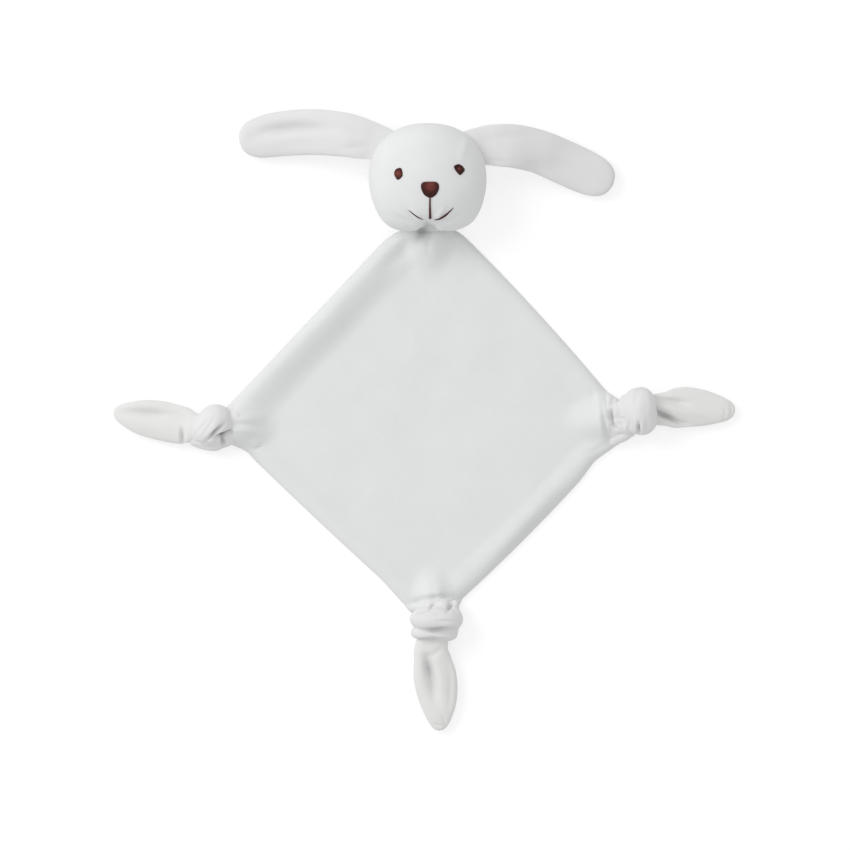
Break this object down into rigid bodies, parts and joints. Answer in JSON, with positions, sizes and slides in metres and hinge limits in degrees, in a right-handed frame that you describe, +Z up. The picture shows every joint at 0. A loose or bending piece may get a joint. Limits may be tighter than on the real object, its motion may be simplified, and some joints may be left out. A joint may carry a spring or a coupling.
{
  "type": "lovey",
  "caption": "Plush rabbit comforter: a stuffed head with floppy padded ears on a velour blanket with knotted corners, lying face up, for a baby to hold.",
  "frame": {"origin": "middle of the blanket's underside, where it lies on the table", "axes": "+Z up off the table and out of the face, +Y from the blanket's middle towards the head, +X to the viewer's right"},
  "size_m": [0.3416, 0.3428, 0.0448],
  "materials": {
    "velour": "white cotton velour with a short dense matt pile",
    "filling": "white fibre filling and wadding",
    "thread": "red-brown embroidery thread in satin stitch, slightly glossy"
  },
  "bodies": {
    "blanket": {"blanket_front": "velour", "blanket_back": "velour"},
    "neck": {"neck_gather": "velour"},
    "collar": {"neck_hem": "velour"},
    "head": {"head_front": "velour", "head_back": "velour", "head_filling": "filling", "left_eye": "thread", "right_eye": "thread", "nose": "thread", "mouth_line": "thread", "smile_left": "thread", "smile_right": "thread", "left_ear_base": "velour", "right_ear_base": "velour"},
    "left_ear": {"left_ear_front": "velour", "left_ear_back": "velour", "left_ear_wadding": "filling"},
    "right_ear": {"right_ear_front": "velour", "right_ear_back": "velour", "right_ear_wadding": "filling"},
    "left_corner": {"left_knot": "velour"},
    "left_end": {"left_tail": "velour"},
    "right_corner": {"right_knot": "velour"},
    "right_end": {"right_tail": "velour"},
    "bottom_corner": {"bottom_knot": "velour"},
    "bottom_end": {"bottom_tail": "velour"}
  },
  "joints": [
    {"name": "neck_nod", "type": "hinge", "parent": "blanket", "child": "neck", "pos_m": [-0.0012, 0.1006, 0.0138], "axis": [1, 0, 0], "range_deg": [0, 90]},
    {"name": "neck_tilt", "type": "hinge", "parent": "neck", "child": "collar", "pos_m": [-0.0012, 0.106, 0.012], "axis": [0, 0, 1], "range_deg": [-25, 25]},
    {"name": "neck_turn", "type": "hinge", "parent": "collar", "child": "head", "pos_m": [-0.0012, 0.106, 0.012], "axis": [0, 1, 0], "range_deg": [-60, 60]},
    {"name": "left_ear_flop", "type": "hinge", "parent": "head", "child": "left_ear", "pos_m": [-0.03245, 0.15024, 0.0212], "axis": [0.5664, 0.8241, 0], "range_deg": [0, 100]},
    {"name": "right_ear_flop", "type": "hinge", "parent": "head", "child": "right_ear", "pos_m": [0.03062, 0.14834, 0.0212], "axis": [0.5519, -0.8339, 0], "range_deg": [0, 100]},
    {"name": "left_corner_fold", "type": "hinge", "parent": "blanket", "child": "left_corner", "pos_m": [-0.1085, -0.0055, 0.0131], "axis": [0, 1, 0], "range_deg": [0, 110]},
    {"name": "left_tail_flop", "type": "hinge", "parent": "left_corner", "child": "left_end", "pos_m": [-0.1311, -0.0069, 0.0106], "axis": [0, 1, 0], "range_deg": [0, 100]},
    {"name": "right_corner_fold", "type": "hinge", "parent": "blanket", "child": "right_corner", "pos_m": [0.098, -0.0016, 0.0131], "axis": [0.1564, -0.9877, 0], "range_deg": [0, 110]},
    {"name": "right_tail_flop", "type": "hinge", "parent": "right_corner", "child": "right_end", "pos_m": [0.1252, 0.00311, 0.0106], "axis": [0.1564, -0.9877, 0], "range_deg": [0, 100]},
    {"name": "bottom_corner_fold", "type": "hinge", "parent": "blanket", "child": "bottom_corner", "pos_m": [0.0025, -0.105, 0.0131], "axis": [-0.9945, -0.1045, 0], "range_deg": [0, 110]},
    {"name": "bottom_tail_flop", "type": "hinge", "parent": "bottom_corner", "child": "bottom_end", "pos_m": [0.00129, -0.12604, 0.0106], "axis": [-0.9945, -0.1045, 0], "range_deg": [0, 100]}
  ]
}
